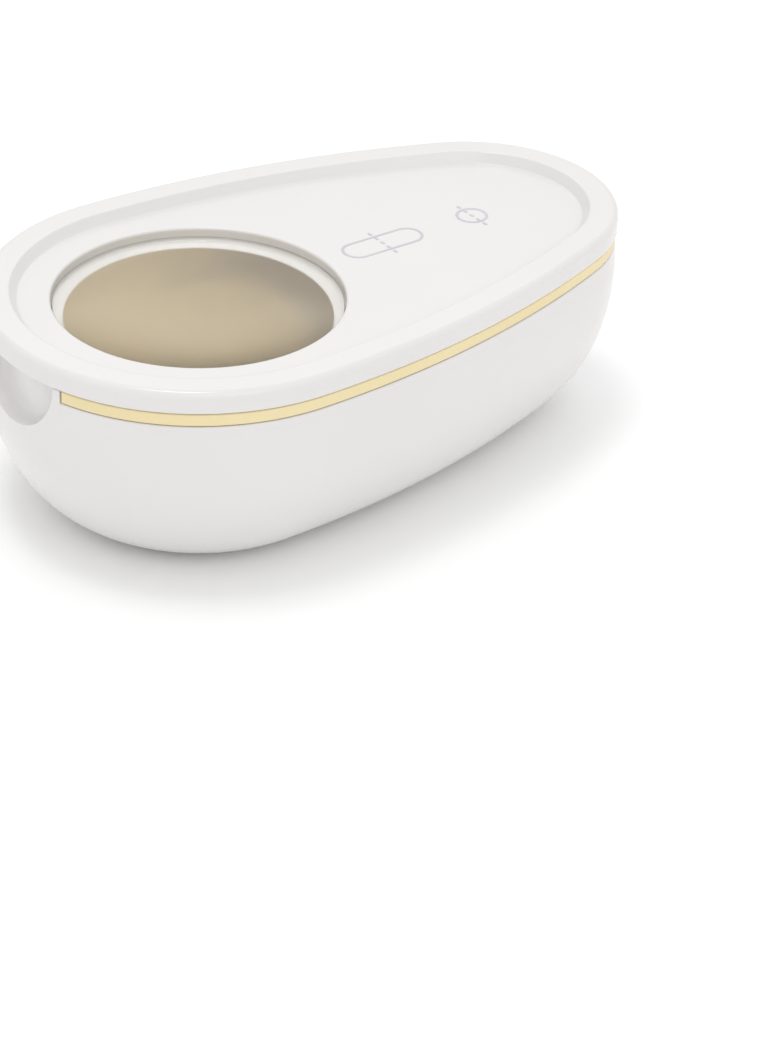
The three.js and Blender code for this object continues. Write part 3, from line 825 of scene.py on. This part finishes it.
def addGuideWall(bm, side):
    # a strip is extruded upwards, then its edges are rounded
    steps, half = 36, 0.97 * mm
    low, high = traySizes["platformZ"] - 0.4 * mm, traySizes["platformZ"] + 5.8 * mm
    left, right = [], []
    for i in range(steps + 1):
        here = guideLine(i / steps)
        ahead, behind = min(1, i / steps + 0.01), max(0, i / steps - 0.01)
        heading = (guideLine(ahead) - guideLine(behind)).normalized()
        across = Vector((-heading.y, heading.x)) * half
        left.append(Vector((here.x + across.x, side * (here.y + across.y), low)))
        right.append(Vector((here.x - across.x, side * (here.y - across.y), low)))
    face = bm.faces.new([bm.verts.new(p) for p in left + right[::-1]])
    made = bmesh.ops.extrude_face_region(bm, geom=[face])["geom"]
    topVerts = [v for v in made if isinstance(v, bmesh.types.BMVert)]
    topFace = next(f for f in made if isinstance(f, bmesh.types.BMFace))
    bmesh.ops.translate(bm, vec=(0, 0, high - low), verts=topVerts)
    corners = {topVerts[0], topVerts[steps], topVerts[steps + 1], topVerts[-1]}
    rims = set(topFace.edges)
    rims |= {e for v in corners for e in v.link_edges if abs(e.verts[0].co.z - e.verts[1].co.z) > mm}
    bmesh.ops.bevel(
        bm,
        geom=list(rims),
        offset=0.45 * mm,
        segments=4,
        profile=0.5,
        affect="EDGES",
        material=-1,
    )


def makeTray(stations):
    bm = bmesh.new()
    ringsToMesh(bm, [trayColumn(s) for s in stations], False)
    tray = finishMesh(bm, "inner_tray_moulding", "base", ["inner_tray"], trayYellow)
    # the blade's slit
    bladeLow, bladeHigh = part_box("blade")
    slitZ = traySizes["platformZ"]
    low = (bladeLow.x - 0.6 * mm, -traySizes["slitHalfWidth"], slitZ - traySizes["slitDepth"])
    high = (bladeHigh.x + 0.6 * mm, traySizes["slitHalfWidth"], slitZ + 1 * mm)
    cutWith(tray, "slit_cutter", [(low, high)])
    tray.data.set_sharp_from_angle(angle=math.radians(30))
    # broad faces decide the shading
    normals = tray.modifiers.new("normals", "WEIGHTED_NORMAL")
    normals.keep_sharp = True


def makeGuideWalls():
    bm = bmesh.new()
    for side in (1, -1):
        addGuideWall(bm, side)
    finishMesh(bm, "inner_tray_guides", "base", [], trayYellow)


trayStations = stationList([trayPadAngle], [notchAngle], 60, 1.1 * trayPadAngle)
makeTray(trayStations)
makeGuideWalls()
print("inner tray made")

# lid cover: raised rim, sloped step, recessed panel and round window hole

lidSizes = {
    "bottom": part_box("lid_cover")[1].z - 3.12 * mm,
    "top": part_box("lid_cover")[1].z,
    "edgeRound": 0.95 * mm,
    "rimWidth": 4 * mm,
    "slopeWidth": 1 * mm,
    "slopeRound": 0.35 * mm,
    "recess": 1.5 * mm,
    "skin": 1.3 * mm,
    "skirt": 1.6 * mm,
    "windowRadius": 19.8 * mm,
    "windowRound": 0.35 * mm,
    "solidFromX": 41 * mm,  # the rim is not hollow at the hinge
}
panelTop = lidSizes["top"] - lidSizes["recess"]
panelBottom = panelTop - lidSizes["skin"]


def circlePoint(station, radius, height):
    toward = eggPoint(station, 5 * mm)
    turn = math.atan2(toward.y, toward.x - wideX)
    return Vector((wideX + radius * math.cos(turn), radius * math.sin(turn), height))


def lidColumn(station):
    look = lidSizes
    panelInset = look["rimWidth"] + look["slopeWidth"]
    corners = [
        (0.1 * mm, look["bottom"] + 0.7 * mm, 0),
        (0, look["bottom"] + 0.8 * mm, 0),
        (0, look["top"], look["edgeRound"]),
        (look["rimWidth"], look["top"], look["slopeRound"]),
        (panelInset, panelTop, look["slopeRound"]),
        (panelInset + 0.5 * mm, panelTop, 0),
    ]
    path = roundedPath(corners)[1:]
    points = []
    for inset, height in path:
        point = eggPoint(station, inset)
        point.z = height
        points.append(point)
    window = roundedPath(
        [
            (look["windowRadius"] + 0.8 * mm, panelTop, 0),
            (look["windowRadius"], panelTop, look["windowRound"]),
            (look["windowRadius"], panelBottom, 0),
        ],
        4,
    )
    points += [circlePoint(station, radius, height) for radius, height in window]
    pocketTop = look["top"] - look["skin"] - 0.2 * mm
    if eggPoint(station, look["skirt"]).x > look["solidFromX"]:
        pocketTop = look["bottom"] + 0.05 * mm
    for inset, height in (
        (panelInset - 0.3 * mm, panelBottom),
        (panelInset - 0.3 * mm, pocketTop),
        (look["skirt"], pocketTop),
        (look["skirt"], look["bottom"]),
        (0.25 * mm, look["bottom"]),
        (0.07 * mm, look["bottom"] + 0.07 * mm),
        (0, look["bottom"] + 0.25 * mm),
        (0, look["bottom"] + 0.8 * mm),
    ):
        point = eggPoint(station, inset)
        point.z = height
        points.append(point)
    return points


def makeLid(stations):
    bm = bmesh.new()
    ringsToMesh(bm, [lidColumn(s) for s in stations], True)
    lid = finishMesh(bm, "lid_cover_moulding", "lid", ["lid_cover"], caseWhite)
    # room for the two hinge ears of the shell
    bm = bmesh.new()
    reach = hingeSizes["barrelRadius"] + touchGap
    for side in (1, -1):
        inner, outer = hingeSizes["earStart"] - touchGap, hingeSizes["earEnd"] + touchGap
        low, high = sorted((side * inner, side * outer))
        profile = [(0, low), (reach, low), (reach, high), (0, high)]
        turnedPiece(bm, profile, (0, 1, 0), (hingeSizes["x"], 0, hingeSizes["z"]), 48)
    bmesh.ops.recalc_face_normals(bm, faces=bm.faces)
    cutterMesh = bpy.data.meshes.new("ear_cutter")
    bm.to_mesh(cutterMesh)
    bm.free()
    applyCut(lid, bpy.data.objects.new("ear_cutter", cutterMesh))
    return lid


def makeKnuckle():
    bm = bmesh.new()
    half = hingeSizes["knuckleHalfWidth"] - 0.05 * mm
    addBarrel(bm, -half, half)
    neckHigh = hingeSizes["z"] + hingeSizes["barrelRadius"] + 0.4 * mm
    neckLow = hingeSizes["z"] + hingeSizes["pinRadius"] + touchGap
    reach = 0.9 * hingeSizes["barrelRadius"]
    front, rear = hingeSizes["x"] - reach, hingeSizes["x"] + reach
    addBlock(bm, (front, -half, neckLow), (rear, half, neckHigh), 0.1 * mm)
    return finishMesh(bm, "lid_hinge_knuckle", "lid", [], caseWhite)


lidStations = stationList([], [], 60, 0.3)
makeLid(lidStations)
makeKnuckle()
print("lid cover made")

# lid liner and window

linerSizes = {
    "inset": 5 * mm,
    "rearX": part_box("lid_liner")[1].x,
    "top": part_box("lid_liner")[1].z,
    "bottom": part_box("lid_liner")[0].z,
    "edgeRound": 1.1 * mm,
    "ledge": 0.9 * mm,
    "holeRadius": 19 * mm,
    "holeLean": 1.6 * mm,  # the hole narrows towards its underside
    "flangeRadius": 21.6 * mm,
}


def linerColumn(station):
    look = linerSizes

    def edgePoint(inset, height):
        point = eggPoint(station, inset)
        point.x = softMin(point.x, look["rearX"] - (inset - look["inset"]), 2.5 * mm)
        point.z = height
        return point

    corners = [
        (look["inset"] + 1 * mm, look["top"], 0),
        (look["inset"], look["top"], 0.2 * mm),
        (look["inset"], look["bottom"], look["edgeRound"]),
        (look["inset"] + 3 * mm, look["bottom"], 0),
    ]
    points = [edgePoint(inset, height) for inset, height in roundedPath(corners)[:-1]]
    window = roundedPath(
        [
            (look["holeRadius"] - look["holeLean"] + 1 * mm, look["bottom"], 0),
            (look["holeRadius"] - look["holeLean"], look["bottom"], 0.12 * mm),
            (look["holeRadius"], look["bottom"] + look["ledge"], 0),
        ],
        4,
    )
    points += [circlePoint(station, radius, height) for radius, height in window]
    points.append(circlePoint(station, look["flangeRadius"], look["bottom"] + look["ledge"]))
    points.append(circlePoint(station, look["flangeRadius"], look["top"]))
    points.append(points[0].copy())
    return points


def makeLiner(stations):
    bm = bmesh.new()
    ringsToMesh(bm, [linerColumn(s) for s in stations], True)
    liner = finishMesh(bm, "lid_liner_moulding", "lid", ["lid_liner"], innerWhite)
    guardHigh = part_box("blade_guard")[1]
    front, rear = 15.1 * mm, 21.1 * mm
    inner, outer = 6.8 * mm, guardHigh.y + 0.5 * mm
    under, over = linerSizes["bottom"] - mm, linerSizes["top"] + mm
    blocks = []
    for side in (1, -1):
        low, high = sorted((side * inner, side * outer))
        blocks.append(((front, low, under), (rear, high, over)))
    cutWith(liner, "guard_window_cutter", blocks)
    return liner


makeLiner(lidStations)

lensSizes = {
    "radius": lidSizes["windowRadius"] - 0.14 * mm,
    "flangeRadius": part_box("window_lens")[1].y,
    "bottom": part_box("window_lens")[0].z,
    "flangeTop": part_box("lid_liner")[1].z,
    "top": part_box("window_lens")[1].z,
    "domeHeight": 1 * mm,
    "domeShape": 4,  # higher is flatter in the middle
    "domeRings": 26,
}


def makeLens():
    look = lensSizes
    edgeZ = look["top"] - look["domeHeight"]
    corners = [
        (0, look["bottom"], 0),
        (look["flangeRadius"], look["bottom"], 0.2 * mm),
        (look["flangeRadius"], look["flangeTop"], 0.2 * mm),
        (look["radius"], look["flangeTop"], 0.06 * mm),
        (look["radius"], edgeZ, 0.16 * mm),
        (0.985 * look["radius"], edgeZ + look["domeHeight"] * (1 - 0.985 ** look["domeShape"]), 0),
    ]
    profile = [(max(0, r), z) for r, z in roundedPath(corners, 3)]
    for i in range(look["domeRings"] - 1, -1, -1):
        share = 0.985 * i / look["domeRings"]
        rise = look["domeHeight"] * (1 - share ** look["domeShape"])
        profile.append((share * look["radius"], edgeZ + rise))
    bm = bmesh.new()
    turnedPiece(bm, profile, (0, 0, 1), (wideX, 0, 0), 128)
    parts = ["window_lens"]
    return finishMesh(bm, "window_lens_clear", "lid", parts, windowClear, 30)


makeLens()
print("liner and window made")

# printed pictogram: a capsule with a cut line, and a round tablet in two halves

pictogramSizes = {
    "centreX": 18 * mm,
    "centreY": -1 * mm,
    "line": 0.4 * mm,
    "thickness": 0.03 * mm,
    "height": 4.6 * mm,
    "capsuleLength": 13 * mm,
}


def addStrokeRing(bm, centre, radius, stretch):
    # two rings, drawn apart lengthways and bridged, make the outline of a capsule or tablet
    line = pictogramSizes["line"]
    edges = []
    for r in (radius - line, radius):
        ring = bmesh.ops.create_circle(bm, segments=48, radius=r)["verts"]
        for vert in ring:
            vert.co.x += math.copysign(stretch / 2, vert.co.x + 1e-9)
            vert.co += Vector(centre)
        edges += list({e for v in ring for e in v.link_edges})
    bmesh.ops.bridge_loops(bm, edges=edges)


def makePictogram():
    look = pictogramSizes
    base = panelTop + 0.004 * mm
    line = look["line"]
    bm = bmesh.new()
    radius = look["height"] / 2
    capsuleX = look["centreX"] - 7 * mm
    tabletX = look["centreX"] + 9 * mm
    y = look["centreY"]
    addStrokeRing(bm, (capsuleX, y, base), radius, look["capsuleLength"] - look["height"])
    addStrokeRing(bm, (tabletX - 0.5 * mm, y, base), radius, 0)
    flat = list(bm.faces)
    bmesh.ops.extrude_face_region(bm, geom=flat)
    top = {v for f in flat for v in f.verts}
    bmesh.ops.translate(bm, vec=(0, 0, look["thickness"]), verts=list(top))
    for x in (capsuleX, tabletX - 0.5 * mm):
        for k in range(-2, 3):
            low = (x - line / 2, y + k * 1.5 * mm - 0.4 * mm, base)
            high = (x + line / 2, y + k * 1.5 * mm + 0.4 * mm, base + look["thickness"])
            addBlock(bm, low, high)
    return finishMesh(bm, "lid_pictogram", "lid", [], printInk)


makePictogram()
print("pictogram made")

# blade holder, its clamp halves and the guard: the frame's shapes with moulded edges
mouldedEdges = {
    "blade_holder": 0.3 * mm,
    "blade_clamp_left": 0.25 * mm,
    "blade_clamp_right": 0.25 * mm,
    "blade_guard": 0.2 * mm,
    "blade": 0,
}


def softenNode(name, width, material):
    # flat areas are joined up first, so that only true corners get a round edge
    node = bpy.data.objects[name]
    weld = node.modifiers.new("weld", "WELD")
    weld.merge_threshold = 0.004 * mm
    if width:
        flat = node.modifiers.new("flat", "DECIMATE")
        flat.decimate_type = "DISSOLVE"
        flat.angle_limit = math.radians(2)
        edge = node.modifiers.new("edge", "BEVEL")
        edge.width = width
        edge.segments = 3
        edge.limit_method = "ANGLE"
        edge.angle_limit = math.radians(40)
        edge.use_clamp_overlap = True
        edge.harden_normals = False
        normals = node.modifiers.new("normals", "WEIGHTED_NORMAL")
        normals.keep_sharp = True
    for slot in node.material_slots:
        slot.material = material


for name, width in mouldedEdges.items():
    softenNode(name, width, bladeSteel if name == "blade" else innerWhite)
print("blade holder softened")

# screws with pan heads and a cross recess, springs and the hinge pin
screwSizes = {
    "headRadius": 1.4 * mm,
    "headHeight": 1.0 * mm,
    "shankRadius": 0.8 * mm,
    "crossLength": 1.5 * mm,
    "crossWidth": 0.4 * mm,
}


def makeScrew(name):
    look = screwSizes
    low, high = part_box(name)
    x, y = (low.x + high.x) / 2, (low.y + high.y) / 2
    head = look["headRadius"]
    corners = [
        (0, low.z, 0),
        (0.62 * head, low.z, 0.5 * mm),
        (head, low.z + 0.42 * mm, 0.25 * mm),
        (head, low.z + look["headHeight"], 0.08 * mm),
        (look["shankRadius"], low.z + look["headHeight"], 0),
        (look["shankRadius"], high.z - 0.5 * mm, 0.2 * mm),
        (0, high.z, 0),
    ]
    bm = bmesh.new()
    profile = [(max(0, r), z) for r, z in roundedPath(corners, 4)]
    turnedPiece(bm, profile, (0, 0, 1), (x, y, 0), 40)
    screw = finishMesh(bm, name + "_made", "lid", [name], platedSteel)
    half, arm = look["crossWidth"] / 2, look["crossLength"] / 2
    depth = low.z + 0.55 * mm
    cross = [
        ((x - arm, y - half, low.z - mm), (x + arm, y + half, depth)),
        ((x - half, y - arm, low.z - mm), (x + half, y + arm, depth)),
    ]
    for i, block in enumerate(cross):
        cutWith(screw, name + "_cross" + str(i), [block])
    screw.data.set_sharp_from_angle(angle=math.radians(38))


for screwKind in ("holder", "clamp"):
    for screwPlace in ("front_left", "rear_left", "rear_right", "front_right"):
        makeScrew(screwKind + "_screw_" + screwPlace)

springSizes = {
    "wireRadius": 0.18 * mm,
    "turns": 4,
    "endTurns": 1.2,
    "stepsPerTurn": 40,
    "sides": 12,
}


def makeSpring(name):
    # a coil with closed end turns, swept from a small circle
    look = springSizes
    low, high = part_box(name)
    centre = (low + high) / 2
    coilRadius = (high.x - low.x) / 2 - look["wireRadius"]
    wire = look["wireRadius"]
    endTurns = look["endTurns"]
    turns = look["turns"] + 2 * endTurns - 1
    count = round(turns * look["stepsPerTurn"])
    endRise = 2 * wire * endTurns
    rise = high.z - low.z - 2 * wire
    bm = bmesh.new()
    columns = [[] for _ in range(look["sides"])]
    for i in range(count + 1):
        turn = turns * i / count
        # the pitch is small over the end turns and even between them
        body = min(max(turn - endTurns, 0), turns - 2 * endTurns) / (turns - 2 * endTurns)
        ends = (min(turn, endTurns) + max(0, turn - turns + endTurns)) / endTurns * endRise
        z = low.z + wire + ends + body * (rise - 2 * endRise)
        out = Vector((math.cos(2 * math.pi * turn), math.sin(2 * math.pi * turn), 0))
        for k, column in enumerate(columns):
            around = 2 * math.pi * k / look["sides"]
            spot = Vector((centre.x, centre.y, z)) + out * (coilRadius + wire * math.cos(around))
            column.append(spot + Vector((0, 0, wire * math.sin(around))))
    ringsToMesh(bm, columns, False)
    spring = finishMesh(bm, name + "_coil", "lid", [name], platedSteel, 60)
    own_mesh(spring)


for springName in ("guard_spring_left", "guard_spring_right"):
    makeSpring(springName)


def makeHingePin():
    low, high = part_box("hinge_pin")
    radius = (high.x - low.x) / 2
    middle = (low + high) / 2
    corners = [(0, low.y, 0), (radius, low.y, 0.2 * mm), (radius, high.y, 0.2 * mm), (0, high.y, 0)]
    bm = bmesh.new()
    profile = [(max(0, r), y) for r, y in roundedPath(corners, 4)]
    turnedPiece(bm, profile, (0, 1, 0), (middle.x, 0, middle.z), 32)
    finishMesh(bm, "hinge_pin_turned", "base", ["hinge_pin"], platedSteel)


makeHingePin()
print("screws, springs and pin made")

# plain pale floor, soft studio light and the camera
studio = {
    "azimuth": -33.2,
    "elevation": 28.18,
    "distance": 450 * mm,
    "lens": 113,
    "aimRay": (-191.2, 225.8, -3339),  # where the middle of the window falls in the frame
    "floorColour": "#fdfdfd",
    "worldStrength": 0.85,
}


def makeStudio():
    look = studio
    turn, lift = math.radians(look["azimuth"]), math.radians(look["elevation"])
    level = math.cos(lift)
    back = Vector((math.sin(turn) * level, -math.cos(turn) * level, math.sin(lift)))
    anchor = Vector((wideX, 0, seamZ + 0.1 * mm))
    cameraData = bpy.data.cameras.new("camera")
    cameraData.lens = look["lens"]
    cameraData.clip_start = 0.01
    camera = bpy.data.objects.new("camera", cameraData)
    bpy.context.scene.collection.objects.link(camera)
    camera.location = anchor + back * look["distance"]
    facing = (-back).to_track_quat("-Z", "Y")
    aim = Vector(look["aimRay"]).normalized()
    camera.rotation_mode = "QUATERNION"
    camera.rotation_quaternion = facing @ aim.rotation_difference(Vector((0, 0, -1)))
    bpy.context.scene.camera = camera

    world = bpy.data.worlds.new("studio_white")
    world.use_nodes = True
    world.node_tree.nodes["Background"].inputs["Color"].default_value = (1, 1, 1, 1)
    world.node_tree.nodes["Background"].inputs["Strength"].default_value = look["worldStrength"]
    bpy.context.scene.world = world


def addSoftLight(name, place, aim, size, power):
    light = bpy.data.lights.new(name, "AREA")
    light.shape = "RECTANGLE"
    light.size, light.size_y = size
    light.energy = power
    lamp = bpy.data.objects.new(name, light)
    bpy.context.scene.collection.objects.link(lamp)
    lamp.location = place
    lamp.rotation_mode = "QUATERNION"
    lamp.rotation_quaternion = (Vector(aim) - Vector(place)).to_track_quat("-Z", "Y")


def makeFloor():
    bm = bmesh.new()
    bmesh.ops.create_grid(bm, x_segments=8, y_segments=8, size=3)
    mesh = bpy.data.meshes.new("floor")
    bm.to_mesh(mesh)
    bm.free()
    floor = bpy.data.objects.new("floor", mesh)
    bpy.context.scene.collection.objects.link(floor)
    floor.data.materials.append(
        mouldedPlastic(
            "paper_backdrop_white",
            {
                "colour": studio["floorColour"],
                "shade": "#fbfbfb",
                "driftSize": 200,
                "grainSize": 1.2,
                "gloss": (0.8, 0.9),
                "peel": 0.05,
                "ior": 1.4,
                "specular": 0.2,
            },
        )
    )


makeStudio()
makeFloor()
addSoftLight("key_light", (-0.25, -0.85, 0.75), (0, 0, 0.02), (0.8, 0.6), 1.5)
addSoftLight("overhead_light", (-0.1, 0.05, 1.0), (wideX, 0, 0.02), (0.25, 0.25), 1.7)
addSoftLight("window_light", (0.35, 0.55, 0.6), (0, 0, 0.02), (0.6, 0.4), 0.6)
bpy.context.scene.view_settings.view_transform = "Standard"
print("studio made")
